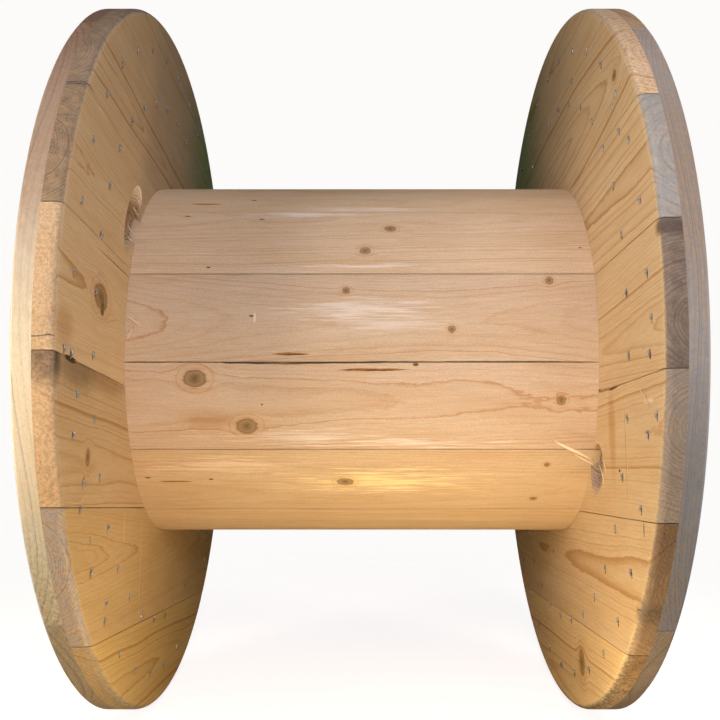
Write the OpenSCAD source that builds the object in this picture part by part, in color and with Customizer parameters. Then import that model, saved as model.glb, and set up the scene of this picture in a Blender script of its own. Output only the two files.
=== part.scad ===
// Wooden cable drum: two flanges of crossed boards, clamped by tie rods onto a turned
// barrel of staves. The drum's axis is X, it stands on its two rims, and the origin is
// the middle of the spindle bore. Each flange is drawn lying flat, with its inner face
// at z = 0, its inner boards along x and outside upwards, and is then put in place.

/* [Flanges] */
// Diameter of each flange
flange_d = 1000; // [700:10:1250]
// Thickness of one layer of boards, two layers to a flange
board_t = 22; // [20:1:32]
// Width of a flange board
board_w = 150; // [120:5:220]
// Open gap at the seam between two boards of a layer
board_seam = 0.9; // [0.4:0.1:3]
// Radius that rounds the inner edge of the rim
rim_inner_round = 8; // [3:1:16]
// Bevel along the outer edge of the rim
rim_outer_bevel = 3; // [1:0.5:10]
// Slope of the left flange's inner boards, falling away to the far side
left_turn = 9.5; // [0:0.5:20]
// Slope of the right flange's inner boards, falling away to the far side
right_turn = 7.5; // [0:0.5:20]
// How far the left flange's outer boards are laid off the middle
left_shift = 16; // [0:1:25]
// How far the right flange's outer boards are laid off the middle
right_shift = 11; // [0:1:25]

/* [Barrel] */
// Outside diameter of the turned barrel
barrel_d = 514; // [400:2:620]
// Clear width between the flanges, which the cable fills
inner_w = 590; // [300:10:800]
// Number of staves round the barrel
staves = 14; // [10:1:20]
// Thickness of a stave in its middle
stave_t = 24; // [18:1:34]
// Open gap at the seam between two staves
stave_seam = 1.1; // [0.4:0.1:3]
// Turn of the barrel about its axis
barrel_turn = 0.9; // [-12:0.1:12]
// Depth of the groove in each flange that the staves' ends sit in
groove_depth = 10; // [6:1:14]
// Clearance round the staves' ends in the groove
groove_clear = 0.4; // [0.2:0.1:1]

/* [Spindle bore and cable slots] */
// Diameter of the bore that the spindle goes through
bore_d = 80; // [50:1:110]
// Diameter of the drilled cable slot in each flange, beside the barrel
slot_d = 54; // [30:1:60]
// Height angle of the left cable slot above the near side
left_slot_angle = 40; // [20:1:60]
// Lean of the left cable slot from square to the flange
left_slot_lean = 62; // [20:1:64]
// Height angle of the right cable slot above the near side
right_slot_angle = -29.5; // [-60:0.5:-20]
// Lean of the right cable slot from square to the flange
right_slot_lean = 38; // [20:1:64]

/* [Tie rods] */
// Number of tie rods through the barrel
rods = 4; // [3:1:6]
// Diameter of a tie rod
rod_d = 12; // [8:1:16]
// Clearance across a tie rod in its hole
rod_clear = 1; // [0.5:0.1:2]
// Distance from the barrel's inner face in to the middle of a tie rod
rod_inset = 34; // [30:1:60]
// Diameter of a washer
washer_d = 40; // [32:1:44]
// Thickness of a washer
washer_t = 3; // [2:0.5:4]
// Width of a nut across its flats
nut_af = 19; // [16:1:24]
// Thickness of a nut
nut_t = 10; // [6:1:12]
// Length of rod that stands out of a nut
rod_end = 2; // [1:0.5:2]
// Clearance round a washer in its counterbore
washer_clear = 2; // [1:0.5:3]

/* [Nails] */
// Diameter of a nail
nail_d = 3.1; // [2.5:0.1:4]
// Diameter of a nail's head
nail_head_d = 7; // [5:0.5:9]
// Thickness of a nail's head
nail_head_t = 1.2; // [0.8:0.1:2]
// Length of the tip that is clinched over on the inner face
nail_tip = 9; // [6:0.5:12]
// Clearance round a nail in its hole
nail_clear = 0.1; // [0.05:0.05:0.2]
// Number of nails in each of the two outer rings
ring_nails = 34; // [24:1:40]
// Distance from the rim in to the first ring of nails
ring_edge = 48; // [35:1:60]
// Distance from the first ring of nails in to the second
ring_step = 72; // [40:1:90]
// Number of nails in the ring inside the barrel
hub_nails = 12; // [8:1:16]
// Distance from the spindle bore out to the ring inside the barrel
hub_ring_gap = 90; // [60:1:100]

/* [Hidden] */
$fn = 96;
flange_r = flange_d / 2;
flange_t = 2 * board_t;
barrel_r = barrel_d / 2;
barrel_inner_r = barrel_r - stave_t;
stave_angle = 360 / staves;
stave_l = inner_w + 2 * groove_depth;
rod_ring_r = barrel_inner_r - rod_inset;
rod_hole_d = rod_d + rod_clear;
pocket_d = washer_d + 2 * washer_clear;
// The nut, the washer and the rod's end all stay 1 mm below the outer face
pocket_depth = washer_t + nut_t + rod_end + 1;
nut_seat = flange_t - pocket_depth + washer_t;
slot_bite = 2; // how far the cable slot runs in over the barrel's groove
slot_ring_r = barrel_r - slot_bite + slot_d / 2;
nail_r = nail_d / 2;
tip_sink = 0.55; // how deep the middle of a clinched tip lies in the wood
tip_r = nail_r - 0.25; // the bend flattens the nail a little
tip_point_r = 0.4;
cut = 1; // how far a cutting shape runs past the face it cuts

// Boards are numbered from the first strip that the disc reaches to the last
function first_strip(shift) = -ceil((flange_r + shift) / board_w - 0.5);
function last_strip(shift) = ceil((flange_r - shift) / board_w - 0.5);
function strip_count(shift) = last_strip(shift) - first_strip(shift) + 1;
function strip_middle(i, shift) = (first_strip(shift) + i - 1) * board_w + shift;

// Sides: -1 is the left flange and 1 the right one
SIDES = [-1, 1];
function side_name(side) = side < 0 ? "left" : "right";
function turn(side) = side < 0 ? left_turn : right_turn;
function shift(side) = side < 0 ? left_shift : right_shift;
function slot_angle(side) = side < 0 ? left_slot_angle : right_slot_angle;
function slot_lean(side) = side < 0 ? left_slot_lean : right_slot_lean;

// A height angle above the drum's near side, as an angle in the flange's own plane
function in_flange(height, side) = 180 - height + turn(side);
function at(radius, angle) = [radius * cos(angle), radius * sin(angle)];

// Nails of one flange, as places in its own plane: two rings near the rim, a ring inside
// the barrel, and a few extra nails beside the seams of the inner boards
EXTRA_NAILS = [
    [[434, -4.5], [434, -17.5], [437, -26.5], [435, -40], [473, 1.5]],
    [[432, 37.5], [434, 43.5], [478, -6.5], [410, 74], [460, 5.5]],
];
function ring(radius, count, side) =
    [for (k = [0 : count - 1]) at(radius, in_flange(k * 360 / count + 1, side))];
function extra_nails(side) =
    [for (e = EXTRA_NAILS[side < 0 ? 0 : 1]) at(e[0] * flange_r / 500, in_flange(e[1], side))];
function nails(side) = concat(
    ring(flange_r - ring_edge, ring_nails, side),
    ring(flange_r - ring_edge - ring_step, ring_nails, side),
    ring(bore_d / 2 + hub_ring_gap, hub_nails, side),
    extra_nails(side)
);
// Each tip is clinched across the grain, a little askew
function tip_turn(i) = -90 + 14 * sin(i * 137.5);

// Puts a flange that lies flat at its end of the barrel
module place_flange(side) {
    mirror([side < 0 ? 1 : 0, 0, 0])
        translate([inner_w / 2, 0, 0])
            rotate([-turn(side), 0, 0])
                rotate([90, 0, 90])
                    children();
}

// The inner layer as a whole disc, with the inner edge of its rim rounded
module inner_disc() {
    rotate_extrude()
        intersection() {
            union() {
                square([flange_r - rim_inner_round, board_t]);
                translate([0, rim_inner_round])
                    square([flange_r, board_t - rim_inner_round]);
                translate([flange_r - rim_inner_round, rim_inner_round])
                    circle(rim_inner_round);
            }
            square([flange_r, board_t]);
        }
}

// The outer layer as a whole disc, with the outer edge of its rim bevelled
module outer_disc() {
    rotate_extrude()
        polygon([
            [0, board_t],
            [flange_r, board_t],
            [flange_r, flange_t - rim_outer_bevel],
            [flange_r - rim_outer_bevel, flange_t],
            [0, flange_t],
        ]);
}

// One board's strip of a layer, without its share of the seams
module strip(middle, z) {
    width = board_w - board_seam;
    translate([-flange_r - cut, middle - width / 2, z])
        cube([2 * (flange_r + cut), width, board_t]);
}

// The ring groove that the staves' ends sit in
module groove() {
    outer = barrel_r + groove_clear;
    inner = barrel_inner_r - groove_clear;
    translate([0, 0, -cut])
        difference() {
            cylinder(r = outer, h = groove_depth + cut);
            translate([0, 0, -cut])
                cylinder(r = inner, h = groove_depth + 3 * cut);
        }
}

module spindle_hole() {
    translate([0, 0, -cut])
        cylinder(d = bore_d, h = flange_t + 2 * cut);
}

// The leaning hole that the cable's inner end is led out through
module cable_slot(side) {
    reach = flange_t / cos(slot_lean(side)) + slot_d * tan(slot_lean(side));
    rotate([0, 0, in_flange(slot_angle(side), side)])
        translate([slot_ring_r, 0, 0])
            rotate([slot_lean(side), 0, 0])
                translate([0, 0, -reach / 2])
                    cylinder(d = slot_d, h = 2 * reach);
}

module rod_places(side) {
    for (k = [0 : rods - 1])
        rotate([0, 0, (k + 0.5) * 360 / rods + turn(side)])
            translate([rod_ring_r, 0, 0])
                children();
}

module rod_holes(side) {
    rod_places(side) {
        translate([0, 0, -cut])
            cylinder(d = rod_hole_d, h = flange_t + 2 * cut);
        translate([0, 0, flange_t - pocket_depth])
            cylinder(d = pocket_d, h = pocket_depth + cut);
    }
}

// The line that a nail's clinched tip lies on, from the middle of its shank
module tip_line(i) {
    translate([0, 0, tip_sink])
        rotate([0, 0, tip_turn(i)])
            rotate([0, 90, 0])
                children();
}

// A nail: its head flush with the outer face, its shank through both layers, and its
// tip bent over and pressed into the inner face
module nail(i) {
    bend = tip_sink - nail_r;
    translate([0, 0, bend])
        cylinder(r = nail_r, h = flange_t - nail_head_t / 2 - bend, $fn = 32);
    translate([0, 0, flange_t - nail_head_t])
        cylinder(d = nail_head_d, h = nail_head_t, $fn = 32);
    tip_line(i)
        cylinder(r1 = tip_r, r2 = tip_point_r, h = nail_tip, $fn = 32);
}

// What a nail takes out of the boards: its hole, the dent of its head and that of its tip
module nail_hole(i) {
    translate([0, 0, -cut])
        cylinder(r = nail_r + nail_clear, h = flange_t + cut, $fn = 32);
    translate([0, 0, flange_t - nail_head_t - nail_clear])
        cylinder(d = nail_head_d + 2 * nail_clear, h = nail_head_t + nail_clear + cut, $fn = 32);
    tip_line(i)
        cylinder(r = tip_r + nail_clear, h = nail_tip + nail_clear, $fn = 32);
}

// The holes of those nails that come near one board; across is 1 for the inner boards,
// which lie side by side along y, and 0 for the outer ones
module nail_holes(side, across, middle) {
    places = nails(side);
    near = board_w / 2 + nail_tip + nail_head_d;
    for (i = [0 : len(places) - 1])
        if (abs(places[i][across] - middle) < near)
            translate(places[i])
                nail_hole(i);
}

module inner_board(side, i) {
    middle = strip_middle(i, 0);
    color("#cda069")
        place_flange(side)
            difference() {
                intersection() {
                    inner_disc();
                    strip(middle, 0);
                }
                groove();
                spindle_hole();
                cable_slot(side);
                rod_holes(side);
                nail_holes(side, 1, middle);
            }
}

module outer_board(side, i) {
    middle = strip_middle(i, shift(side));
    color("#d8b482")
        place_flange(side)
            difference() {
                intersection() {
                    outer_disc();
                    rotate([0, 0, -90])
                        strip(middle, board_t);
                }
                spindle_hole();
                cable_slot(side);
                rod_holes(side);
                nail_holes(side, 0, middle);
            }
}

// A stave is a straight board with bevelled edges, turned round on its outside
module stave(i) {
    half = stave_angle / 2;
    side_gap = stave_seam / 2 / cos(half);
    blank_r = barrel_r / cos(half) + cut;
    near = barrel_inner_r * tan(half) - side_gap;
    far = blank_r * tan(half) - side_gap;
    color("#d3a374")
        rotate([90, 0, 90])
            translate([0, 0, -stave_l / 2])
                intersection() {
                    rotate([0, 0, 180 + barrel_turn + (i - 0.5) * stave_angle])
                        linear_extrude(stave_l)
                            polygon([
                                [barrel_inner_r, -near],
                                [blank_r, -far],
                                [blank_r, far],
                                [barrel_inner_r, near],
                            ]);
                    cylinder(r = barrel_r, h = stave_l);
                }
}

module tie_rod(i) {
    half_l = inner_w / 2 + nut_seat + nut_t + rod_end;
    color("#8d8f91")
        rotate([(i - 0.5) * 360 / rods, 0, 0])
            translate([-half_l, rod_ring_r, 0])
                rotate([0, 90, 0])
                    cylinder(d = rod_d, h = 2 * half_l);
}

module washers(side) {
    color("#9a9c9e")
        place_flange(side)
            rod_places(side)
                translate([0, 0, flange_t - pocket_depth])
                    difference() {
                        cylinder(d = washer_d, h = washer_t);
                        translate([0, 0, -cut])
                            cylinder(d = rod_hole_d, h = washer_t + 2 * cut);
                    }
}

module nuts(side) {
    color("#85878a")
        place_flange(side)
            rod_places(side)
                translate([0, 0, nut_seat])
                    difference() {
                        cylinder(d = nut_af / cos(30), h = nut_t, $fn = 6);
                        translate([0, 0, -cut])
                            cylinder(d = rod_d + nail_clear, h = nut_t + 2 * cut);
                    }
}

module flange_nails(side) {
    places = nails(side);
    color("#6d6f73")
        place_flange(side)
            for (i = [0 : len(places) - 1])
                translate(places[i])
                    nail(i);
}

for (s = SIDES, i = [1 : strip_count(0)])
    inner_board(s, i);
for (s = SIDES, i = [1 : strip_count(shift(s))])
    outer_board(s, i);
for (i = [1 : staves])
    stave(i);
for (i = [1 : rods])
    tie_rod(i);
for (s = SIDES)
    washers(s);
for (s = SIDES)
    nuts(s);
for (s = SIDES)
    flange_nails(s);
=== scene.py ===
# %% [markdown]
# # A wooden cable drum
# Two round flanges, each two crossed layers of spruce boards, are clamped by tie rods onto a
# barrel of staves. Nails hold the layers together, and their tips are clinched over inside.
# The frame holds every piece at its real size, so this lesson is about finish: wood that was
# sawn, turned, nailed and left out in the weather.

# %% The frame and the few helpers
import math
import random

import bmesh
import bpy
from mathutils import Matrix, Vector


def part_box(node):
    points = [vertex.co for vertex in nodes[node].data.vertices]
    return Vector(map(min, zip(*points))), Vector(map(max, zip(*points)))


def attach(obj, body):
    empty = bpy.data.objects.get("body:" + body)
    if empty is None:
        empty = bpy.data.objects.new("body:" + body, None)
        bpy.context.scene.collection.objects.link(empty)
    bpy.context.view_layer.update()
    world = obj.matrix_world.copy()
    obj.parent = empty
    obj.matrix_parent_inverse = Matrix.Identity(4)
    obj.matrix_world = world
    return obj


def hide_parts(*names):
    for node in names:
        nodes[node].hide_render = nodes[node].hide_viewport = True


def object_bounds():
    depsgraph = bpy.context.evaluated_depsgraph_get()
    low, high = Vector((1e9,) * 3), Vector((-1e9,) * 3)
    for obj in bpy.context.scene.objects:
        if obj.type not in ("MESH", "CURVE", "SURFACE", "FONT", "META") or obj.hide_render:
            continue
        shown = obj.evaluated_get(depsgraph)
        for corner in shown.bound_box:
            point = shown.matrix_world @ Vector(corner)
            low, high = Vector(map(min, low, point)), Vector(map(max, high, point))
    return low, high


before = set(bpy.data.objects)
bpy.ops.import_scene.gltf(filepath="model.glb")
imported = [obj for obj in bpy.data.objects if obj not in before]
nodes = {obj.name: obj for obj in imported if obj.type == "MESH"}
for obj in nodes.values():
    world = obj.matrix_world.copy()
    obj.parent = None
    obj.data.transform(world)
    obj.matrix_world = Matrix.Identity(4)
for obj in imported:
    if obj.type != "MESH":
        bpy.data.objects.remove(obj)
cad_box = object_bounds()
scene = bpy.context.scene
MM = 0.001
TO_MM = 1000
print("nodes", len(nodes), "box", [round(v, 4) for corner in cad_box for v in corner])

# %% [markdown]
# Colours are written the way a paint chart gives them, as sRGB hex values. Shaders count in
# linear light, so one function turns them. Another one adds a node: its inputs are given in
# order, a socket is linked and a number is set, and it hands back the node's first output.

# %% Colour and node helpers
def linear(hex_colour, alpha=1.0):
    parts = [int(hex_colour[k : k + 2], 16) / 255 for k in (1, 3, 5)]
    return (*[p / 12.92 if p <= 0.04045 else ((p + 0.055) / 1.055) ** 2.4 for p in parts], alpha)


def add(tree, kind, *inputs, named=None, stops=None, **settings):
    node = tree.nodes.new(kind)
    for key, value in settings.items():
        setattr(node, key, value)
    if stops:
        ramp = node.color_ramp.elements
        while len(ramp) < len(stops):
            ramp.new(1.0)
        for element, (position, colour) in zip(ramp, stops):
            element.position = position
            element.color = colour
    sockets = [s for s in node.inputs if s.enabled]
    pairs = list(zip(sockets, inputs)) + [(node.inputs[k], v) for k, v in (named or {}).items()]
    for socket, value in pairs:
        if isinstance(value, bpy.types.NodeSocket):
            tree.links.new(value, socket)
        elif value is not None:
            socket.default_value = value
    return next(s for s in node.outputs if s.enabled)


print("linear #808080 is", round(linear("#808080")[0], 3))

# %% [markdown]
# The drum's sizes come from the frame. Its axis is X, the near side is -Y, and it stands on
# the two rims. A flange's inner boards slope a little, because the drum has been rolled.

# %% Sizes and places
FLANGE_R = cad_box[1].z
INNER_X = -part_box("left_inner_board_4")[1].x
OUTER_X = cad_box[1].x
BOARD_T = (OUTER_X - INNER_X) / 2
BOARD_W = 150 * MM
BARREL_R = max(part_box("stave_4")[1].y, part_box("stave_11")[1].z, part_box("stave_1")[1].y,
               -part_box("stave_1")[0].y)
STAVES = sum(name.startswith("stave_") for name in nodes)
BOARDS = sum(name.startswith("left_inner_board_") for name in nodes)
MIDDLE_BOARD = (BOARDS + 1) / 2
SIDE = {"left": -1, "right": 1}
print("flange radius", round(FLANGE_R, 3), "clear width", round(2 * INNER_X, 3))
print("barrel radius", round(BARREL_R, 4), "staves", STAVES, "boards a layer", BOARDS)


# %% [markdown]
# ## Camera and light
# The camera stands level with the axis, in front of the gap between the flanges, and close:
# the perspective opens both inner faces to it.

# %% Camera
camera_data = bpy.data.cameras.new("camera")
camera_data.sensor_width = 36
camera_data.lens = 43.43
camera_data.shift_x = -0.0114
camera_data.shift_y = 0.0032
camera = bpy.data.objects.new("camera", camera_data)
camera.location = (0.0079, -1.3365, -0.0043)
camera.rotation_euler = (math.radians(90), 0, 0)
scene.collection.objects.link(camera)
scene.camera = camera
scene.view_settings.view_transform = "Standard"
print("camera", round((FLANGE_R - camera.location.y) * TO_MM), "mm from the drum's far side")

# %% [markdown]
# A plain studio. A big soft light stands in front and a huge weak one hangs overhead. Two small
# ones come from the sides: the left one wears a grid, which keeps its light on the inner faces.
# A lamp beside the left rim makes it glow, and a warm light low down stands for what the floor
# throws back. The outer faces and the back get some too, as people walk round a drum.


# %% Lights
def area_light(name, place, target, size, watts, colour):
    data = bpy.data.lights.new(name, "AREA")
    data.shape = "RECTANGLE"
    data.size, data.size_y = size
    data.energy = watts
    data.color = linear(colour)[:3]
    light = bpy.data.objects.new(name, data)
    light.location = place
    light.rotation_euler = (Vector(target) - Vector(place)).to_track_quat("-Z", "Y").to_euler()
    light.visible_camera = False
    scene.collection.objects.link(light)
    return light


area_light("front_softbox", (0.05, -1.45, 0.5), (0, -0.1, 0), (0.6, 0.5), 7.5, "#fbfbff")
area_light("right_softbox", (0.5, -1.15, 0.25), (0.1, -0.25, 0.0), (0.25, 0.25), 1.5, "#fff8f0")
grid = area_light("left_softbox", (-0.85, -1.15, 0.5), (0.32, -0.42, 0.2), (0.3, 0.3), 0.78, "#fff4e4")
grid.data.spread = math.radians(50)
area_light("rim_lamp", (-0.56, -0.74, -0.05), (-0.33, -0.5, -0.05), (0.12, 0.12), 1.0, "#ffecc4")
area_light("floor_glow", (0.06, -0.46, -0.49), (0.04, -0.2, 0.0), (0.5, 0.2), 3.2, "#ffe4aa")
area_light("overhead", (0.3, -0.9, 2.2), (0, -0.2, 0), (1.6, 1.2), 11, "#f6f2ff")
area_light("behind", (0, 2.6, 0.9), (0, 0, 0), (1.6, 1.2), 0.7, "#fff6ea")
for side, sign in SIDE.items():
    area_light(f"{side}_fill", (sign * 2.4, -0.2, 0.0), (sign * OUTER_X, 0, 0), (0.8, 0.8), 34, "#fffaf4")

# %% [markdown]
# The drum stands on a pale floor that fades out all round, so no edge and no horizon shows. The
# floor's glow is for the camera alone and doesn't light the wood, and the world is a pale
# backdrop that throws only a faint grey-green light into the shadows.

# %% Floor and surroundings
world = bpy.data.worlds.new("studio")
scene.world = world
world.use_nodes = True
tree = world.node_tree
tree.nodes.clear()
seen = add(tree, "ShaderNodeBackground", linear("#fcfbf9"), 1.0)
ambient = add(tree, "ShaderNodeBackground", linear("#98a070"), 0.03)
is_camera = add(tree, "ShaderNodeLightPath")
sky = add(tree, "ShaderNodeMixShader", is_camera, ambient, seen)
surroundings = tree.nodes.new("ShaderNodeOutputWorld")
tree.links.new(sky, surroundings.inputs["Surface"])

FLOOR_R = 1.5
floor_mesh = bpy.data.meshes.new("floor")
bm = bmesh.new()
bmesh.ops.create_circle(bm, cap_ends=True, segments=64, radius=FLOOR_R)
bmesh.ops.translate(bm, verts=bm.verts, vec=(0, 0, -FLANGE_R))
bm.to_mesh(floor_mesh)
bm.free()
floor = bpy.data.objects.new("floor", floor_mesh)
scene.collection.objects.link(floor)
paint = bpy.data.materials.new("floor_paint")
paint.use_nodes = True
tree = paint.node_tree
shader = tree.nodes["Principled BSDF"]
shader.inputs["Base Color"].default_value = linear("#ccc2ac")
shader.inputs["Roughness"].default_value = 0.9
shader.inputs["Emission Color"].default_value = linear("#fbfbff")
seen_directly = add(tree, "ShaderNodeLightPath")
glow = add(tree, "ShaderNodeMath", seen_directly, 0.84, operation="MULTIPLY")
tree.links.new(glow, shader.inputs["Emission Strength"])
where = tree.nodes.new("ShaderNodeTexCoord").outputs["Object"]
out_from_drum = add(tree, "ShaderNodeVectorMath", where, (1.0, 1.0, 0.0), operation="MULTIPLY")
out_from_drum = add(tree, "ShaderNodeVectorMath", out_from_drum, operation="LENGTH").node.outputs["Value"]
fade = add(tree, "ShaderNodeMapRange", out_from_drum, 0.45, 1.1, 1.0, 0.0, interpolation_type="SMOOTHSTEP")
tree.links.new(fade, shader.inputs["Alpha"])
floor_mesh.materials.append(paint)

# %% [markdown]
# ## Spruce
# Spruce is a pale softwood. Each year adds a wide pale ring of early wood that ends in a thin
# dark line of late wood, so a board is a slice through a stack of cones. The material does
# the same: it works out how far each point lies from the pith of its own log, in
# millimetres, and the saw cuts then show straight grain, arches or end grain by themselves.
# A knot is a branch, and the fibres swerve round it.

# %% The knot, as a group of nodes
knot_group = bpy.data.node_groups.new("knot", "ShaderNodeTree")
for name, kind, way in (
    ("Place", "NodeSocketVector", "INPUT"),
    ("Middle", "NodeSocketVector", "INPUT"),
    ("Radius", "NodeSocketFloat", "INPUT"),
    ("Length", "NodeSocketFloat", "INPUT"),
    ("Swerve", "NodeSocketFloat", "INPUT"),
    ("Place", "NodeSocketVector", "OUTPUT"),
    ("Reach", "NodeSocketFloat", "OUTPUT"),
):
    knot_group.interface.new_socket(name, in_out=way, socket_type=kind)
tree = knot_group
given = tree.nodes.new("NodeGroupInput").outputs
handed = tree.nodes.new("NodeGroupOutput")
away = add(tree, "ShaderNodeVectorMath", given["Place"], given["Middle"], operation="SUBTRACT")
apart = add(tree, "ShaderNodeSeparateXYZ", away).node
along = add(tree, "ShaderNodeMath", apart.outputs[0], given["Length"], operation="DIVIDE")
flat = add(tree, "ShaderNodeCombineXYZ", along, apart.outputs[1], 0.0)
distance = add(tree, "ShaderNodeVectorMath", flat, operation="LENGTH").node.outputs["Value"]
reach = add(tree, "ShaderNodeMath", distance, given["Radius"], operation="DIVIDE")
near = add(tree, "ShaderNodeMapRange", reach, 0.0, 4.0, 1.0, 0.0, interpolation_type="SMOOTHERSTEP")
push = add(tree, "ShaderNodeMath", near, given["Swerve"], operation="MULTIPLY")
across = add(tree, "ShaderNodeMath", apart.outputs[1], push, operation="MULTIPLY")
step = add(tree, "ShaderNodeCombineXYZ", 0.0, across, 0.0)
swerved = add(tree, "ShaderNodeVectorMath", given["Place"], step, operation="SUBTRACT")
tree.links.new(swerved, handed.inputs["Place"])
tree.links.new(reach, handed.inputs["Reach"])
print("knot group", len(tree.nodes), "nodes")


# %% A board's own millimetres
def board_map(along, across, origin):
    """The turn and shift that bring object coordinates to a board's own millimetres:
    x along the grain, y across the board and z through it."""
    x = Vector(along).normalized()
    y = Vector(across).normalized()
    turn = Matrix((x, y, x.cross(y)))
    return turn.to_euler(), -(turn @ Vector(origin)) * TO_MM


raised = board_map((1, 0, 0), (0, 0, 1), (0, 0, BOARD_W))
print("a board one width up is shifted by", [round(v) for v in raised[1]], "mm")


# %% [markdown]
# Fibres are never quite straight. Two noises bend them: one slow and wide, and one short,
# which gives a ring its slightly furry line.

# %% Fibres
def lay_fibres(tree, board, seeded, wave, knots):
    fibre = board
    for period, width, size in ((260, 70, wave), (16, 6, 0.8)):
        shrink = (1 / period, 1 / width, 1 / width)
        scaled = add(tree, "ShaderNodeVectorMath", seeded, shrink, operation="MULTIPLY")
        waver = add(tree, "ShaderNodeTexNoise", scaled, 1.0, 2.0, 0.5).node.outputs["Color"]
        centred = add(tree, "ShaderNodeVectorMath", waver, (0.5, 0.5, 0.5), operation="SUBTRACT")
        bent = add(tree, "ShaderNodeVectorMath", centred, (0.0, 2 * size, 2 * size), operation="MULTIPLY")
        fibre = add(tree, "ShaderNodeVectorMath", fibre, bent, operation="ADD")
    reaches = []
    for x, y, radius, length, swerve in knots:
        knot = tree.nodes.new("ShaderNodeGroup")
        knot.node_tree = knot_group
        tree.links.new(fibre, knot.inputs["Place"])
        knot.inputs["Middle"].default_value = (x, y, 0)
        knot.inputs["Radius"].default_value = radius
        knot.inputs["Length"].default_value = length
        knot.inputs["Swerve"].default_value = swerve
        fibre = knot.outputs["Place"]
        reaches.append(knot.outputs["Reach"])
    return fibre, reaches


# %% [markdown]
# A wave texture could draw rings, but all its lines are alike. Here every year has a width and
# a strength of its own, and the taper of a log turns rings into cones, which is what gives a
# flat-sawn board its arches.

# %% Growth rings
def grey(value):
    return (value, value, value, 1.0)


def growth_rings(tree, fibre, pith, ring, taper, bow):
    """How far a point is into its year's late wood, and that year's own strength."""
    from_pith = add(tree, "ShaderNodeVectorMath", fibre, (0.0, pith[0], pith[1]), operation="SUBTRACT")
    apart = add(tree, "ShaderNodeSeparateXYZ", from_pith).node
    flat = add(tree, "ShaderNodeCombineXYZ", 0.0, apart.outputs[1], apart.outputs[2])
    radius = add(tree, "ShaderNodeVectorMath", flat, operation="LENGTH").node.outputs["Value"]
    slope = add(tree, "ShaderNodeMath", apart.outputs[0], taper, radius, operation="MULTIPLY_ADD")
    square = add(tree, "ShaderNodeMath", apart.outputs[0], apart.outputs[0], operation="MULTIPLY")
    cone = add(tree, "ShaderNodeMath", square, bow, slope, operation="MULTIPLY_ADD")
    years = add(tree, "ShaderNodeMath", cone, 1 / ring, operation="MULTIPLY")
    uneven = add(tree, "ShaderNodeTexNoise", years, 0.23, 1.0, 0.5, noise_dimensions="1D").node.outputs[0]
    years = add(tree, "ShaderNodeMath", uneven, 4.0, years, operation="MULTIPLY_ADD")
    phase = add(tree, "ShaderNodeMath", years, operation="FRACT")
    late_wood = add(tree, "ShaderNodeValToRGB", phase, stops=[
        (0.0, grey(0.5)), (0.08, grey(0.06)), (0.5, grey(0.05)),
        (0.76, grey(0.28)), (0.92, grey(0.9)), (1.0, grey(0.7))])
    year = add(tree, "ShaderNodeMath", years, operation="FLOOR")
    strength = add(tree, "ShaderNodeTexWhiteNoise", year, noise_dimensions="1D").node.outputs["Value"]
    return late_wood, strength


# %% [markdown]
# On a sawn board a knot is a dark oval with a ring of bark, in a pale swollen halo. One colour
# ramp along the distance from its middle gives all of them, and the ramp's alpha says how much
# of the board's own colour is left.

# %% Knots
# From the middle outwards: a dark heart, a brown ring in dead bark, and a pale swollen halo
KNOT_STOPS = [
    (0.10, linear("#574228", 0.95)), (0.22, linear("#7c6038", 0.9)), (0.34, linear("#9c7c54", 0.9)),
    (0.42, linear("#7d5a34", 0.85)), (0.47, linear("#c29468", 0.45)), (0.60, linear("#d0a67c", 0.35)),
    (0.65, linear("#a87848", 0.45)), (0.69, linear("#d0a67c", 0.2)), (1.0, linear("#d0a67c", 0.0))]


def colour_knots(tree, colour, reaches, streak):
    for reach in reaches:
        ragged = add(tree, "ShaderNodeMath", streak, 0.7, reach, operation="MULTIPLY_ADD")
        ragged = add(tree, "ShaderNodeMath", ragged, 1 / 3.3, operation="MULTIPLY")
        brown = add(tree, "ShaderNodeValToRGB", ragged, stops=KNOT_STOPS)
        colour = add(tree, "ShaderNodeMix", brown.node.outputs["Alpha"], colour, brown, data_type="RGBA")
    return colour


print("stops of a knot", len(KNOT_STOPS))

# %% [markdown]
# Marks are thin lens shapes that follow the fibres: pitch pockets, cracks, slits, tool marks, and a saw
# step's painted highlight and painted shade. Stains are soft ellipses with a ragged edge: damp and dirt
# darken the wood, it turns pale along the fibres where rubbed, and some stains are instead painted shade and
# painted sheen.

# %% Marks and stains
def colour_marks(tree, colour, fibre, streak, marks):
    for x, y, length, width, dark, light in marks:
        local = add(tree, "ShaderNodeVectorMath", fibre, (x, y, 0.0), operation="SUBTRACT")
        shaped = add(tree, "ShaderNodeVectorMath", local, (2 / length, 2 / width, 0.0), operation="MULTIPLY")
        lens = add(tree, "ShaderNodeVectorMath", shaped, operation="LENGTH").node.outputs["Value"]
        inside = add(tree, "ShaderNodeMapRange", lens, 0.7, 1.1, 1.0, 0.0)
        inside.node.interpolation_type = "SMOOTHSTEP"
        contrast = add(tree, "ShaderNodeMapRange", streak, 0.4, 0.6, 0.0, 1.0)
        filling = add(tree, "ShaderNodeMix", contrast, linear(dark), linear(light), data_type="RGBA")
        colour = add(tree, "ShaderNodeMix", inside, colour, filling, data_type="RGBA")
    return colour


def colour_stains(tree, colour, board, ragged, stains, blend):
    for middle, sizes, tint, amount in stains:
        local = add(tree, "ShaderNodeVectorMath", board, middle, operation="SUBTRACT")
        shaped = add(tree, "ShaderNodeVectorMath", local, tuple(1 / s for s in sizes), operation="MULTIPLY")
        spread = add(tree, "ShaderNodeVectorMath", shaped, operation="LENGTH").node.outputs["Value"]
        spread = add(tree, "ShaderNodeMath", spread, ragged, operation="ADD")
        inside = add(tree, "ShaderNodeMapRange", spread, 0.8, 1.8, amount, 0.0)
        inside.node.interpolation_type = "SMOOTHSTEP"
        colour = add(tree, "ShaderNodeMix", inside, colour, linear(tint), data_type="RGBA", blend_type=blend)
    return colour


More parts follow.
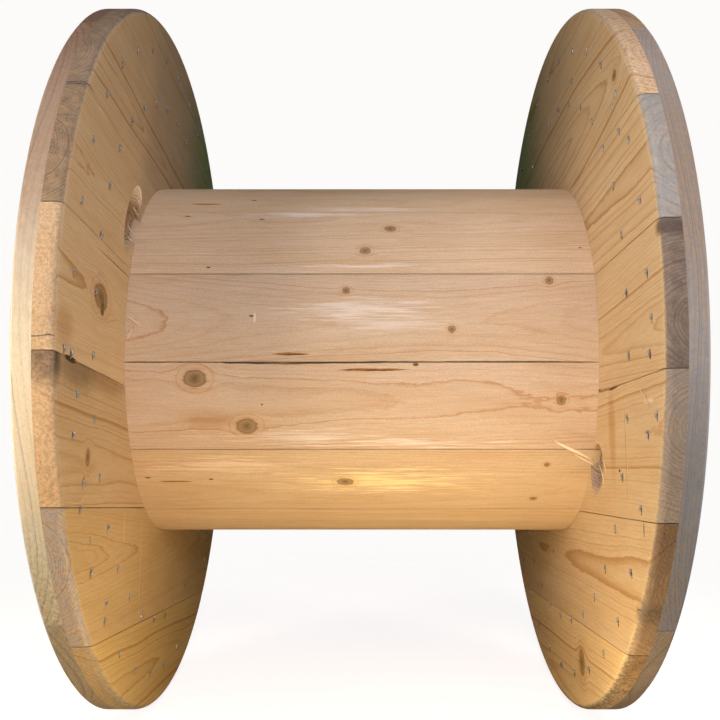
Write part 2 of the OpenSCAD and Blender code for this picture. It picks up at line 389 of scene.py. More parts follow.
# %% [markdown]
# A clinched nail bruises the wood round its tip. Nearly all the nails that show stand in two
# rings, so one polar pattern finds them: the nearest ring, and the nearest nail along it.

# %% Bruises round the nails
NAIL_RINGS = (452, 380)
NAILS = 34
NAIL_FIRST = math.radians(1)
TIP_DROP = 4.5
print("nails on the outer ring are", round(math.tau * NAIL_RINGS[0] / NAILS), "mm apart")


def nail_distance(tree, where):
    """Millimetres to the middle of the nearest clinched tip."""
    flip, drop = (0.0, -TO_MM, TO_MM), (0.0, 0.0, TIP_DROP)
    mm = add(tree, "ShaderNodeVectorMath", where, flip, drop, operation="MULTIPLY_ADD")
    out = add(tree, "ShaderNodeVectorMath", mm, operation="LENGTH").node.outputs["Value"]
    apart = add(tree, "ShaderNodeSeparateXYZ", mm).node
    angle = add(tree, "ShaderNodeMath", apart.outputs[2], apart.outputs[1], operation="ARCTAN2")
    pitch = math.tau / NAILS
    first = 0.5 - NAIL_FIRST / pitch + NAILS
    nail = add(tree, "ShaderNodeMath", angle, 1 / pitch, first, operation="MULTIPLY_ADD")
    nail = add(tree, "ShaderNodeMath", nail, operation="FRACT")
    nail = add(tree, "ShaderNodeMath", nail, pitch, -pitch / 2, operation="MULTIPLY_ADD")
    along = add(tree, "ShaderNodeMath", nail, out, operation="MULTIPLY")
    rings = [add(tree, "ShaderNodeMath", out, radius, operation="SUBTRACT") for radius in NAIL_RINGS]
    rings = [add(tree, "ShaderNodeMath", gap, operation="ABSOLUTE") for gap in rings]
    across = add(tree, "ShaderNodeMath", *rings, operation="MINIMUM")
    flat = add(tree, "ShaderNodeCombineXYZ", along, across, 0.0)
    return add(tree, "ShaderNodeVectorMath", flat, operation="LENGTH").node.outputs["Value"]


# %% [markdown]
# A drum rolls on its rims, so dust, mud and rain grey them, and their inner edge is painted
# darker grey, as shade. Sawn end grain there is furry. All of it hangs on the distance from the
# axis, which leaves the faces clean.

# %% Weather on the rim
RIM_MM = FLANGE_R * TO_MM
RIM_ROUND = 8
print("weather starts", round(RIM_MM - RIM_ROUND + 1), "mm from the axis")


def colour_rim(tree, colour, where, end, fuzz, weather, tint, amount):
    """The rim rolls through dust and mud and takes the rain first, and its inner edge gets painted shade."""
    from_axis = add(tree, "ShaderNodeVectorMath", where, (0.0, TO_MM, TO_MM), operation="MULTIPLY")
    from_axis = add(tree, "ShaderNodeVectorMath", from_axis, operation="LENGTH").node.outputs["Value"]
    smooth = dict(interpolation_type="SMOOTHSTEP")
    rim = add(tree, "ShaderNodeMapRange", from_axis, RIM_MM - RIM_ROUND + 1, RIM_MM - 1, 0.0, 1.0, **smooth)
    saw_marks = add(tree, "ShaderNodeMapRange", fuzz, 0.38, 0.62, 0.78, 1.22)
    sawn = add(tree, "ShaderNodeVectorMath", colour, saw_marks, operation="SCALE")
    depth = add(tree, "ShaderNodeSeparateXYZ", where)
    depth = add(tree, "ShaderNodeMath", depth, operation="ABSOLUTE")
    # Painted shade: a dark grey along the rim's inner edge, broken up by a noise
    arris_painted_shade = add(tree, "ShaderNodeMapRange", depth, INNER_X + 2 * MM, INNER_X + 17 * MM, 1.0, 0.0, **smooth)
    arris_painted_shade = add(tree, "ShaderNodeMath", arris_painted_shade, rim, operation="MULTIPLY")
    arris_shade_breakup = add(tree, "ShaderNodeMapRange", weather, 0.4, 0.6, 0.3, 1.2)
    arris_painted_shade = add(tree, "ShaderNodeMath", arris_painted_shade, arris_shade_breakup, operation="MULTIPLY", use_clamp=True)
    colour = add(tree, "ShaderNodeMix", arris_painted_shade, colour, linear("#706e70"), data_type="RGBA")
    furry = add(tree, "ShaderNodeMath", rim, end, operation="MULTIPLY")
    furry = add(tree, "ShaderNodeMath", furry, 0.85, operation="MULTIPLY")
    colour = add(tree, "ShaderNodeMix", furry, colour, sawn, data_type="RGBA")
    dirt = add(tree, "ShaderNodeMapRange", weather, 0.32, 0.66, 0.5, 1.0, **smooth)
    patchy = add(tree, "ShaderNodeMapRange", fuzz, 0.38, 0.62, 0.6, 1.2)
    dirt = add(tree, "ShaderNodeMath", dirt, patchy, operation="MULTIPLY")
    dirt = add(tree, "ShaderNodeMath", dirt, rim, operation="MULTIPLY")
    dirt = add(tree, "ShaderNodeMath", dirt, amount, operation="MULTIPLY", use_clamp=True)
    colour = add(tree, "ShaderNodeMix", dirt, colour, linear(tint), data_type="RGBA")
    return colour, rim


# %% [markdown]
# Between the rings, wood is never one even colour. Six noises follow the fibres or the board:
# streaks, warm patches, blotches, grit, rubs and fuzz, each with its size along and across in
# millimetres. Real grit is finer, but nothing under 2 mm would show from here. A saw cut that
# lies square to the fibres shows end grain, which is darker.

# %% The wood's own patterns
def wood_patterns(tree, fibre, board, seeded):
    noises = []
    for source, period, width, detail in (
        (fibre, 45, 0.9, 3.0), (seeded, 160, 28, 3.0), (seeded, 12, 12, 4.0),
        (board, 2.0, 1.5, 3.0), (seeded, 60, 2.6, 4.0), (board, 5, 3.4, 2.0)):
        shrink = (1 / period, 1 / width, 1 / width)
        scaled = add(tree, "ShaderNodeVectorMath", source, shrink, operation="MULTIPLY")
        noises.append(add(tree, "ShaderNodeTexNoise", scaled, 1.0, detail, 0.62).node.outputs[0])
    return noises


def end_grain(tree, turn):
    """One on a face that lies square to the fibres, and zero along them."""
    normal = tree.nodes.new("ShaderNodeNewGeometry").outputs["Normal"]
    fibres = turn.to_matrix().transposed() @ Vector((1, 0, 0))
    facing = add(tree, "ShaderNodeVectorMath", normal, tuple(fibres), operation="DOT_PRODUCT").node
    facing = add(tree, "ShaderNodeMath", facing.outputs["Value"], operation="ABSOLUTE")
    return add(tree, "ShaderNodeMapRange", facing, 0.35, 0.75, 0.0, 1.0, interpolation_type="SMOOTHSTEP")


def clean_colour(tree, late_line, late_wood, end, long_tones, end_tones, streak, patch, grit):
    """The colour of sound wood: its rings, its warm patches, its streaks and its grit."""
    early, late = [linear(tone) for tone in long_tones]
    colour = add(tree, "ShaderNodeMix", late_line, early, late, data_type="RGBA")
    early, late = [linear(tone) for tone in end_tones]
    ends = add(tree, "ShaderNodeMix", late_wood, early, late, data_type="RGBA")
    colour = add(tree, "ShaderNodeMix", end, colour, ends, data_type="RGBA")
    warm = add(tree, "ShaderNodeMapRange", patch, 0.38, 0.72, 0.0, 0.55)
    warmth = dict(data_type="RGBA", blend_type="MULTIPLY")
    colour = add(tree, "ShaderNodeMix", warm, colour, linear("#f2e2cc"), **warmth)
    for pattern, low, high in ((streak, 0.86, 1.10), (grit, 0.90, 1.10)):
        shade = add(tree, "ShaderNodeMapRange", pattern, 0.3, 0.7, low, high)
        colour = add(tree, "ShaderNodeVectorMath", colour, shade, operation="SCALE")
    return colour


# %% [markdown]
# One function puts the layers together, from the log outwards: rings, streaks, knots, marks,
# stains, nails and weather. Late wood stands a little proud, and sawn end grain is rough. A
# scan of one board would repeat on all of them, while this gives each board a log of its own.

# %% The spruce material
SEED_STEP = Vector((733.0, 391.0, 0.0))


def spruce(name, place, pith, ring=3.2, taper=0.012, bow=0.0, wave=5.0, lines=1.0, knots=(), marks=(),
           stains=(), rubs_sheen_and_tints=(), rained=(), early="#dcc29e", late="#b98f60", end_early="#d8b48c",
           end_late="#94714e", rim=None, seed=0.0):
    """A log's pith, rings and flaws in millimetres, and its colours, along the grain and across."""
    material = bpy.data.materials.new(name)
    material.use_nodes = True
    tree = material.node_tree
    shader = tree.nodes["Principled BSDF"]
    where = tree.nodes.new("ShaderNodeTexCoord").outputs["Object"]
    turn, shift = place
    in_mm = (TO_MM, TO_MM, TO_MM)
    board = add(tree, "ShaderNodeMapping", where, tuple(shift), tuple(turn), in_mm, vector_type="POINT")
    seeded = add(tree, "ShaderNodeVectorMath", board, tuple(SEED_STEP * seed), operation="ADD")
    fibre, reaches = lay_fibres(tree, board, seeded, wave, knots)
    late_wood, strength = growth_rings(tree, fibre, pith, ring, taper, bow)
    strength = add(tree, "ShaderNodeMath", strength, 2.0, operation="POWER")
    strength = add(tree, "ShaderNodeMapRange", strength, 0.0, 1.0, 0.18 * lines, 1.25 * lines)
    late_line = add(tree, "ShaderNodeMath", late_wood, strength, operation="MULTIPLY", use_clamp=True)

    streak, patch, blotch, grit, rub, fuzz = wood_patterns(tree, fibre, board, seeded)
    end = end_grain(tree, turn)
    tones = (early, late), (end_early, end_late)
    colour = clean_colour(tree, late_line, late_wood, end, *tones, streak, patch, grit)

    scratched = add(tree, "ShaderNodeMapRange", rub, 0.3, 0.7, 0.0, 1.6)
    # Mixed in here: pale rubs with painted sheen on the barrel, a painted highlight, and the grey inside the
    # slots
    colour = colour_stains(tree, colour, board, scratched, rubs_sheen_and_tints, "MIX")
    colour = colour_knots(tree, colour, reaches, streak)
    colour = colour_marks(tree, colour, fibre, streak, marks)
    soft = add(tree, "ShaderNodeMapRange", blotch, 0.3, 0.7, 0.4, 0.6)
    colour = colour_stains(tree, colour, board, soft, stains, "MULTIPLY")
    height = add(tree, "ShaderNodeMath", late_line, 0.25, streak, operation="MULTIPLY_ADD")
    height = add(tree, "ShaderNodeMath", grit, 0.5, height, operation="MULTIPLY_ADD")
    if rim:
        to_nail = nail_distance(tree, where)
        to_nail = add(tree, "ShaderNodeMath", blotch, 7.0, to_nail, operation="MULTIPLY_ADD")
        bruise = add(tree, "ShaderNodeMapRange", to_nail, 5.5, 9.0, 0.55, 0.0)
        bruise.node.interpolation_type = "SMOOTHSTEP"
        bruised = dict(data_type="RGBA", blend_type="MULTIPLY")
        colour = add(tree, "ShaderNodeMix", bruise, colour, linear("#9c7448"), **bruised)
        weather = add(tree, "ShaderNodeMix", end, rub, blotch, data_type="FLOAT")
        colour, at_rim = colour_rim(tree, colour, where, end, fuzz, weather, *rim)
        wet = colour_stains(tree, colour, board, soft, rained, "MULTIPLY")
        colour = add(tree, "ShaderNodeMix", at_rim, colour, wet, data_type="RGBA")
        rough_end = add(tree, "ShaderNodeMath", end, at_rim, operation="MULTIPLY")
        rough_end = add(tree, "ShaderNodeMath", rough_end, fuzz, operation="MULTIPLY")
        height = add(tree, "ShaderNodeMath", rough_end, 3.0, height, operation="MULTIPLY_ADD")
    tree.links.new(colour, shader.inputs["Base Color"])
    bump = add(tree, "ShaderNodeBump", 0.6, 0.0007, named={"Height": height})
    tree.links.new(bump, shader.inputs["Normal"])
    rough = add(tree, "ShaderNodeMapRange", streak, 0.2, 0.8, 0.55, 0.75)
    tree.links.new(rough, shader.inputs["Roughness"])
    return material


def give(node, material):
    node.data.materials.clear()
    node.data.materials.append(material)


# %% [markdown]
# ## The barrel
# Each stave is turned round on its outside, so it is pale and smooth. Its own log is given one by
# one where it faces the viewer: knots, pitch pockets, and pale streaks, cable rubs with painted sheen.
# Places are in millimetres along the stave and across it.

# %% The staves' logs
RESIN = ("#3a2611", "#b8741f")
AMBER = ("#b0722f", "#c98a45")
PIN = ("#4a3a28", "#7a5c3c")
# Pale streaks on the barrel: rubs of the cable, with a painted sheen in them
PALE_RUB_AND_SHEEN = "#efe6e2"
SEAM = ("#4a3826", "#7c5e3e")
STAVE_LOGS = {
    11: dict(pith=(12, -70), ring=3.2),
    12: dict(pith=(-20, -60), ring=3.0, lines=0.6,
             marks=[(-214, -34, 46, 6, *AMBER), (-150, -20, 9, 3, *PIN)],
             rubs_sheen_and_tints=[((0, -50, 0), (105, 7, 20), PALE_RUB_AND_SHEEN, 0.55)]),
    13: dict(pith=(34, -52), ring=2.5, lines=1.1, early="#d8bda0",
             knots=[(4, -22, 5.5, 1.2, 0.7), (37, 20, 5.0, 1.4, 0.6)],
             marks=[(-196, -47, 6, 2.5, *PIN), (282, -15, 5, 2.5, *PIN), (-234, 48, 9, 2.5, *PIN),
                    (-134, 40, 8, 3, *PIN)],
             rubs_sheen_and_tints=[((10, -46, 0), (100, 5, 20), PALE_RUB_AND_SHEEN, 0.6), ((-60, 52, 0), (100, 8, 20), PALE_RUB_AND_SHEEN, 0.8)]),
    14: dict(pith=(-4, -62), ring=2.9, bow=-0.00012, early="#cfb59c",
             knots=[(-20, 35, 4.4, 1.0, 0.6), (112, -18, 4.6, 1.0, 0.8), (237, 48, 4.6, 1.0, 0.7)],
             marks=[(-88, -46, 48, 3.4, *RESIN), (-138, 2, 7, 3, *PIN),
                    (-134, 0, 3, 14, "#ddcab8", "#e6d8ca"), (0, -57, 600, 2.4, *SEAM)],
             rubs_sheen_and_tints=[((0, 10, 0), (110, 16, 20), PALE_RUB_AND_SHEEN, 0.5), ((30, -10, 0), (90, 12, 20), PALE_RUB_AND_SHEEN, 0.35)]),
    1: dict(pith=(6, -70), ring=3.0, early="#d2b8a2",
            knots=[(-208, 37, 10.5, 1.25, 0.8), (-145, -23, 9.5, 1.3, 0.8), (249, 10, 5.4, 1.0, 0.7)],
            marks=[(14, 48, 92, 3.6, *RESIN), (67, 54, 8, 4, *PIN), (-125, 5, 3, 3, *PIN),
                   (0, 57, 600, 2.4, *SEAM)],
            rubs_sheen_and_tints=[((60, -48, 0), (160, 8, 20), PALE_RUB_AND_SHEEN, 0.6), ((-80, -40, 0), (120, 12, 20), PALE_RUB_AND_SHEEN, 0.5)],
            stains=[((-195, -15, 0), (38, 16, 20), "#ead6bc", 0.7)]),
    2: dict(pith=(-14, -60), ring=3.0, lines=0.9, early="#d0b496",
            knots=[(-22, 5, 6.0, 1.6, 0.5), (238, 33, 3.2, 1.1, 0.6), (228, -29, 3.2, 1.4, 0.6)],
            marks=[(-243, 6, 46, 3.6, "#80602f", "#a87c40"), (-279, 12, 9, 3, *PIN),
                   (-197, 10, 6, 3, *PIN)],
            # Stave 2's golden and cream patches are a painted highlight
            rubs_sheen_and_tints=[((20, 4, 0), (130, 26, 20), "#ffe6b0", 0.75),
                  ((-170, 34, 0), (110, 18, 20), "#f6e0c8", 0.5)]),
}


BARREL_TURN = 0.9


def stave_place(i):
    angle = math.radians(180 + BARREL_TURN + (i - 0.5) * 360 / STAVES)
    out = Vector((0, math.cos(angle), math.sin(angle)))
    return board_map((1, 0, 0), (0, out.z, -out.y), out * BARREL_R)


# %% The staves
random.seed(11)
for i in range(1, STAVES + 1):
    log = dict(pith=(random.uniform(-45, 45), random.uniform(-100, -40)), ring=random.uniform(2.6, 3.8),
               early="#d8bd9e", late="#b8875a")
    log.update(STAVE_LOGS.get(i, {}))
    give(nodes[f"stave_{i}"], spruce(f"turned_spruce_{i}", stave_place(i), seed=i, **log))
print("staves", STAVES, "nodes in one's wood", len(nodes["stave_1"].active_material.node_tree.nodes))

# %% [markdown]
# ## The flanges
# A flange's inner boards lie almost level and its outer boards stand upright across them. On
# the near rim that shows end grain inside and long grain outside. The boards are sawn, not
# planed, which leaves them dull. The left rim is fresh and pale, while the right one has greyed.

# %% The flanges' logs
CRACK = ("#3a2a18", "#5a4228")
GAP = ("#1f170c", "#4a4020")
# A saw step shows as a pale line beside a dark one: painted highlight and painted shade
SAW_STEP_HIGHLIGHT = ("#dcb98a", "#e8cba2")
SAW_STEP_SHADE = ("#8a6a40", "#a5804e")
LEFT_INNER = {
    1: dict(pith=(10, -34), ring=3.6, lines=1.3, early="#cdb278", late="#ad8448", rim=("#b59a80", 0.4)),
    2: dict(pith=(20, -48), ring=2.4, taper=0.03, early="#c8ac7f", late="#a87f4d", rim=("#aca6aa", 0.7),
            marks=[(-220, 50, 2.5, 44, *SAW_STEP_HIGHLIGHT), (-132, -2, 2.5, 150, *SAW_STEP_HIGHLIGHT),
                   (-129, -2, 1.2, 150, *SAW_STEP_SHADE), (-470, 72, 60, 3, "#7a5226", "#d39a58")]),
    3: dict(pith=(-30, -40), ring=4.5, lines=1.1, early="#cbb08c", late="#ab8355", end_early="#e2be96",
            end_late="#cda47c", rim=("#e0b080", 0.4), knots=[(-375, -22, 8.5, 0.8, 1.1)],
            marks=[(-446, 74, 36, 4, *GAP), (-384, -44, 3, 10, *CRACK)],
            # A grey band darkens the board along its top seam, from the rim towards the barrel
            stains=[((-425, 70, 0), (70, 28, 60), "#aeaaa4", 0.85),
                    ((-320, 72, 0), (90, 20, 60), "#c4ae94", 0.6),
                    ((-492, 68, 0), (20, 30, 60), "#5e606c", 0.95)]),
    4: dict(pith=(12, -44), ring=2.1, lines=0.9, taper=0.03, end_early="#e4c098", end_late="#d2aa82",
            rim=("#d2ac86", 0.35), knots=[(-358, 10, 14.0, 1.5, 0.8)],
            marks=[(-446, -75, 36, 3, *GAP), (-496, -62, 10, 1.6, *CRACK),
                   (-351, 6, 14, 10, "#5e4826", "#86683a"), (-310, 64, 150, 1.5, *CRACK)],
            stains=[((-470, -45, 0), (30, 20, 30), "#c9a684", 0.5)]),
    5: dict(pith=(-12, -46), ring=2.6, rim=("#7a6654", 0.8),
            # Inside the slot the wood is mixed towards a darker grey
            rubs_sheen_and_tints=[((-235, 12, -9), (60, 60, 8), "#7c756c", 1.0)],
            marks=[(-385, 71, 46, 3, "#ddc39a", "#ecdcc0"), (-480, 30, 40, 1.5, *CRACK)]),
    6: dict(pith=(-20, -40), ring=3.0, rim=("#746a60", 0.7),
            marks=[(-450, -72, 70, 2.2, "#4a3420", "#6a4c2c")]),
    7: dict(pith=(0, -60), ring=3.4, rim=("#74675c", 0.7)),
}
RIGHT_INNER = {
    1: dict(pith=(-20, 30), ring=4.2, lines=1.4, early="#e8cea2", late="#c89a64", end_early="#8c6438",
            end_late="#4e3419", rim=("#543a1c", 0.9), knots=[(-115, 25, 16, 0.8, 0.7)]),
    2: dict(pith=(10, 52), ring=3.6, lines=0.9, end_early="#96724e", end_late="#5a3f28",
            rim=("#6a523e", 0.8), knots=[(-470, -14, 6, 1.0, 0.8)],
            marks=[(-405, 66, 3, 16, *CRACK), (-455, 58, 4, 20, *CRACK), (-384, -20, 30, 2, *CRACK)],
            stains=[((-393, -28, 0), (26, 18, 60), "#4d5236", 0.95)]),
    3: dict(pith=(20, 36), ring=3.4, lines=0.9, end_early="#b8a08a", end_late="#7c6450",
            # Inside the slot the wood is mixed towards a darker grey
            rim=("#8d8078", 0.75), rubs_sheen_and_tints=[((-236, -16, 9), (50, 50, 8), "#6c6c72", 1.0)],
            marks=[(-355, -2, 2.4, 130, *SAW_STEP_HIGHLIGHT), (-352, -2, 1.4, 130, *SAW_STEP_SHADE),
                   (-437, 50, 34, 5, "#e6cba4", "#f2dec0"), (-325, -22, 8, 4, *CRACK),
                   (-311, 73, 40, 2.5, *CRACK)],
            stains=[((-300, 25, 0), (16, 60, 30), "#d8a860", 0.5)]),
    4: dict(pith=(-30, 34), ring=3.4, lines=1.2, taper=0.03, end_early="#a58f7e", end_late="#5e4a3e",
            rim=("#625248", 0.85), marks=[(-240, -73, 40, 3, *CRACK)],
            stains=[((-496, 66, 0), (16, 10, 60), "#6a5036", 0.95)]),
    5: dict(pith=(0, 44), ring=8.0, lines=1.2, end_early="#b8a696", end_late="#8c7c70",
            rim=("#929294", 0.85)),
    6: dict(pith=(-10, 30), ring=5.2, bow=0.0002, lines=1.3, rim=("#e4c4a4", 0.6),
            knots=[(-363, -14, 6.0, 1.2, 0.9)]),
    7: dict(pith=(0, 60), ring=3.4, rim=("#e8c8a8", 0.6)),
}
LEFT_OUTER = dict(ring=6.5, taper=0.003, wave=2.5, lines=1.2, early="#efdcc0", late="#b4a4a6",
                  rim=("#efe2cc", 0.35))
RIGHT_OUTER = dict(ring=4.0, taper=0.003, wave=2.5, lines=1.4, early="#b8a490", late="#7c6654",
                   rim=("#8c8c94", 0.85))
WEATHERED = {"left": ("#a08e84", 0.7), "right": ("#a08870", 0.5)}
# Painted shade darkens the far top of both inner faces to grey-green, and rain has tinted stretches of the
# rims.
# These stains cover a board's whole width and depth: where along it, how far, and the tint
WHOLE = 300
FAR_TOP_PAINTED_SHADE = ((300, 0, 0), (240, WHOLE, WHOLE), "#b5e2c3", 1.0)
RAINED = {
    "left": [((230, 0, 0), (260, WHOLE, WHOLE), "#c8b5ae", 1.0),
             ((-360, 0, 0), (137, WHOLE, WHOLE), "#e7f5ff", 1.0)],
    "right": [((-330, 0, 0), (230, WHOLE, WHOLE), "#d4e0ee", 1.0),
              ((-400, 0, 0), (150, WHOLE, WHOLE), "#b0b2cd", 1.0),
              ((110, 0, 0), (150, WHOLE, WHOLE), "#eddece", 1.0)],
}

# %% The flanges' boards
# The inner boards' slope in degrees, and how far the outer layer's seams are shifted
TURN = {"left": 9.5, "right": 7.5}
SHIFT = {"left": 16 * MM, "right": 11 * MM}
for side, sign in SIDE.items():
    turn = math.radians(TURN[side])
    inner_along = Vector((0, math.cos(turn), -math.sin(turn)))
    outer_along = Vector((0, math.sin(turn), math.cos(turn)))
    face = Vector((sign * INNER_X, 0, 0))
    for i in range(1, BOARDS + 1):
        from_middle = (i - MIDDLE_BOARD) * BOARD_W
        place = board_map(inner_along, outer_along, face + outer_along * from_middle)
        log = dict((LEFT_INNER, RIGHT_INNER)[sign > 0][i])
        # The upper boards get the painted shade at their far end
        if i > MIDDLE_BOARD:
            log["stains"] = log.get("stains", []) + [FAR_TOP_PAINTED_SHADE]
        wood = spruce(f"{side}_inner_sawn_spruce_{i}", place, seed=20 + i + 10 * sign, **log)
        give(nodes[f"{side}_inner_board_{i}"], wood)
        middle = face + inner_along * (from_middle + SHIFT[side]) + Vector((sign * BOARD_T, 0, 0))
        place = board_map(outer_along, inner_along, middle)
        log = dict((LEFT_OUTER, RIGHT_OUTER)[sign > 0])
        log.update(pith=(random.uniform(-20, 20), -sign * random.uniform(120, 200)), rained=RAINED[side])
        if i > 1:
            log.update(rim=WEATHERED[side])
        wood = spruce(f"{side}_outer_sawn_spruce_{i}", place, seed=40 + i + 10 * sign, **log)
        give(nodes[f"{side}_outer_board_{i}"], wood)
print("boards", sum("board" in name for name in nodes))

# %% [markdown]
# ## Steel
# The nails are drawn wire, bright where the hammer caught them. The tie rods, washers and nuts
# are zinc plated: pale grey, with a cloudy bloom.

# %% Two kinds of steel
def metal(name, bright, dull, roughness, cloud):
    """Steel with clouds of dullness, of a size in millimetres."""
    material = bpy.data.materials.new(name)
    material.use_nodes = True
    tree = material.node_tree
    shader = tree.nodes["Principled BSDF"]
    shader.inputs["Metallic"].default_value = 1.0
    where = tree.nodes.new("ShaderNodeTexCoord").outputs["Object"]
    noise = add(tree, "ShaderNodeTexNoise", where, TO_MM / cloud, 3.0, 0.6).node.outputs[0]
    dullness = add(tree, "ShaderNodeMapRange", noise, 0.3, 0.7, 0.0, 1.0)
    colour = add(tree, "ShaderNodeMix", dullness, linear(bright), linear(dull), data_type="RGBA")
    tree.links.new(colour, shader.inputs["Base Color"])
    rough = add(tree, "ShaderNodeMapRange", noise, 0.3, 0.7, roughness - 0.1, roughness + 0.15)
    tree.links.new(rough, shader.inputs["Roughness"])
    bump = add(tree, "ShaderNodeBump", 0.3, 0.0002, named={"Height": noise})
    tree.links.new(bump, shader.inputs["Normal"])
    return material


drawn_steel = metal("drawn_steel_wire", "#d2d2d4", "#808286", 0.55, 2.5)
zinc = metal("zinc_plated_steel", "#c4c8cc", "#9a9ea3", 0.42, 6.0)
for name, node in nodes.items():
    if name.endswith(("washers", "nuts")) or name.startswith("tie_rod"):
        give(node, zinc)

# %% [markdown]
# A nail goes through both layers from outside. Its tip is then hammered over: it comes out of
# the wood, bends, and its point goes back in. The frame's plain nail gives the place and the
# way its tip points. The shaped nail is a ring of vertices, extruded and turned along the bend.


# %% A ring extruded along a line
def sweep(bm, spots, side, sides):
    """Extrudes a ring along spots, each a place, a width and a thickness; side lies across."""
    ring = bmesh.ops.create_circle(bm, segments=sides, radius=1)["verts"]
    # A set of edges has another order in each run, and a dictionary keeps the one that it is given
    edges = list(dict.fromkeys(edge for vert in ring for edge in vert.link_edges))
    before = Matrix.Identity(4)
    for k, (place, wide, thick) in enumerate(spots):
        if k:
            grown = bmesh.ops.extrude_edge_only(bm, edges=edges)["geom"]
            ring = [g for g in grown if isinstance(g, bmesh.types.BMVert)]
            edges = [g for g in grown if isinstance(g, bmesh.types.BMEdge)]
            edges = [edge for edge in edges if all(vert in ring for vert in edge.verts)]
        ahead = (spots[min(k + 1, len(spots) - 1)][0] - spots[max(k - 1, 0)][0]).normalized()
        axes = Matrix((side * wide, ahead.cross(side) * thick, ahead)).transposed()
        now = Matrix.Translation(place) @ axes.to_4x4()
        bmesh.ops.transform(bm, matrix=now @ before.inverted(), verts=ring)
        before = now
        if k in (0, len(spots) - 1):
            bmesh.ops.contextual_create(bm, geom=edges)


def finish_piece(bm, name, material):
    bmesh.ops.recalc_face_normals(bm, faces=bm.faces)
    mesh = bpy.data.meshes.new(name)
    bm.to_mesh(mesh)
    bm.free()
    mesh.materials.append(material)
    for face in mesh.polygons:
        face.use_smooth = True
    piece = bpy.data.objects.new(name, mesh)
    scene.collection.objects.link(piece)
    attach(piece, "root")
    return piece


# %% Nails with clinched tips
# The bend in millimetres: along the tip, out of the wood, half the width and half the thickness
BEND = ((0.0, -1.5, 1.5, 1.5), (0.0, 0.6, 1.5, 1.5), (0.7, 1.9, 1.6, 1.3), (2.3, 2.5, 1.7, 1.1),
        (4.6, 2.1, 1.5, 1.0), (7.0, 1.2, 1.1, 0.8), (8.8, 0.2, 0.8, 0.6), (10.0, -0.8, 0.35, 0.3))
HEAD_R = 3.5 * MM
HEAD_T = 1.2 * MM


def loose_parts(mesh):
    """The places of the vertices of each separate part of a mesh, sorted."""
    bm = bmesh.new()
    bm.from_mesh(mesh)
    bmesh.ops.remove_doubles(bm, verts=bm.verts, dist=1e-6)
    left = set(bm.verts)
    parts = []
    while left:
        reached = [left.pop()]
        parts.append([])
        while reached:
            vert = reached.pop()
            parts[-1].append(vert.co.copy())
            beside = {edge.other_vert(vert) for edge in vert.link_edges} & left
            left -= beside
            reached.extend(beside)
    bm.free()
    # The walk over a set goes another way in each run, so sorting gives the nails their one order
    return [sorted(part, key=tuple) for part in parts]


def add_nail(nails, part, sign):
    """A shaped tip on the inner face and a head in the outer face, where the plain nail has them."""
    head = [p for p in part if abs(p.x) > OUTER_X - 0.05 * MM]
    middle = sum(head, Vector()) / len(head)
    inner = [p for p in part if abs(p.x) < INNER_X + 2 * MM]
    point = max(inner, key=lambda p: (p.yz - middle.yz).length)
    down = Vector((0, *(point.yz - middle.yz).normalized()))
    lift = Vector((-sign, 0, 0))
    hole = Vector((sign * INNER_X, middle.y, middle.z))
    length, height = random.uniform(0.55, 0.95), random.uniform(0.3, 0.9)
    spots = [(hole + (down * along * length + lift * high * height) * MM, wide * MM, thick * MM)
             for along, high, wide, thick in BEND]
    bm = bmesh.new()
    sweep(bm, spots, down.cross(lift), 8)
    outer = Vector((sign, 0, 0))
    disc = [(middle - outer * (HEAD_T - inwards * HEAD_T), radius * HEAD_R, radius * HEAD_R)
            for inwards, radius in ((0.0, 0.5), (0.5, 1.0), (0.85, 1.0), (1.0, 0.86))]
    sweep(bm, disc, Vector((0, 1, 0)), 16)
    one = bpy.data.meshes.new("nail")
    bm.to_mesh(one)
    bm.free()
    nails.from_mesh(one)
    bpy.data.meshes.remove(one)


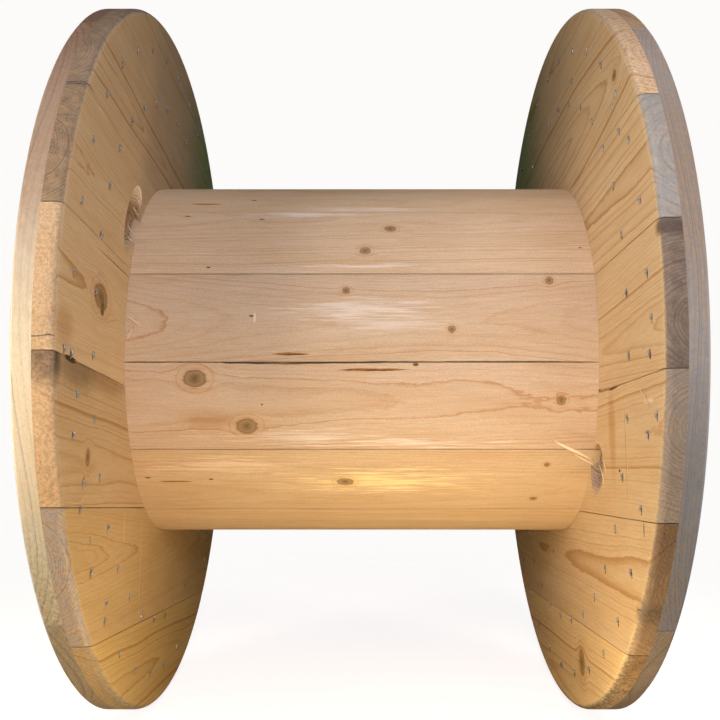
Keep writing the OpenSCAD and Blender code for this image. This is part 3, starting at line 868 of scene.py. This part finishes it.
random.seed(5)
for side, sign in SIDE.items():
    plain = nodes[f"{side}_nails"]
    bm = bmesh.new()
    parts = sorted(loose_parts(plain.data), key=lambda part: (round(part[0].y, 3), round(part[0].z, 3)))
    for part in parts:
        add_nail(bm, part, sign)
    shaped = finish_piece(bm, f"{side}_clinched_nails", drawn_steel)
    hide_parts(f"{side}_nails")
    print(side, "nails", len(parts), "faces", len(shaped.data.polygons))

# %% [markdown]
# ## Torn fibres
# A saw and a drill leave slivers where they break out: along the slots, at the barrel's ends
# and on a seam. Each one is a thin flat spike, thickest in its middle and bowed off the wood.

# %% Slivers
# Each sliver in millimetres: its two ends, how far it bows out towards the viewer, half its width
SLIVERS = (
    ((238, -250, -102), (291, -248, -127), 5, 2.0),
    ((262, -236, -118), (293, -250, -134), 3, 0.8),
    ((-294, -254, 55), (-272, -257, 40), 4, 0.6),
    ((-294, -256, 17), (-284, -259, 38), 4, 0.8),
    ((-293, -252, 22), (-286, -258, 30), 3, 0.5),
    ((-298, -240, 158), (-286, -250, 146), 4, 0.7),
    ((-298, -232, 172), (-290, -236, 158), 4, 0.6),
    ((-294, -222, 196), (-288, -214, 184), 4, 0.6),
    ((-294, -204, 214), (-289, -200, 198), 4, 0.6),
    ((-294, -400, -146), (-291, -436, -150), 2, 0.7),
    ((-295, -452, -146), (-291, -424, -153), 3, 0.8),
    ((-294, -386, -158), (-292, -410, -154), 2, 0.5),
    ((294, -421, -33), (292, -460, -50), 1, 1.4),
    ((294, -283, -152), (290, -274, -128), 3, 0.8),
    ((294, -296, -140), (289, -288, -118), 3, 0.7),
)
fresh_spruce = spruce("torn_spruce", board_map((1, 0, 0), (0, 0, 1), (0, 0, 0)), (0, 60),
                      early="#ffe6c8", late="#f0c898", seed=90)
bm = bmesh.new()
for start, stop, bow, half in SLIVERS:
    start, stop = Vector(start), Vector(stop)
    along = (stop - start).normalized()
    out = Vector((0, -1, 0))
    across = along.cross(out).normalized()
    spots = []
    for step, girth in ((0.0, 0.15), (0.2, 0.7), (0.45, 1.0), (0.7, 0.75), (0.9, 0.4), (1.0, 0.1)):
        place = start.lerp(stop, step) + out * bow * math.sin(step * math.pi)
        spots.append((place * MM, half * girth * MM, 0.4 * half * girth * MM))
    sweep(bm, spots, across, 6)
slivers = finish_piece(bm, "torn_fibres", fresh_spruce)
print("slivers", len(SLIVERS))
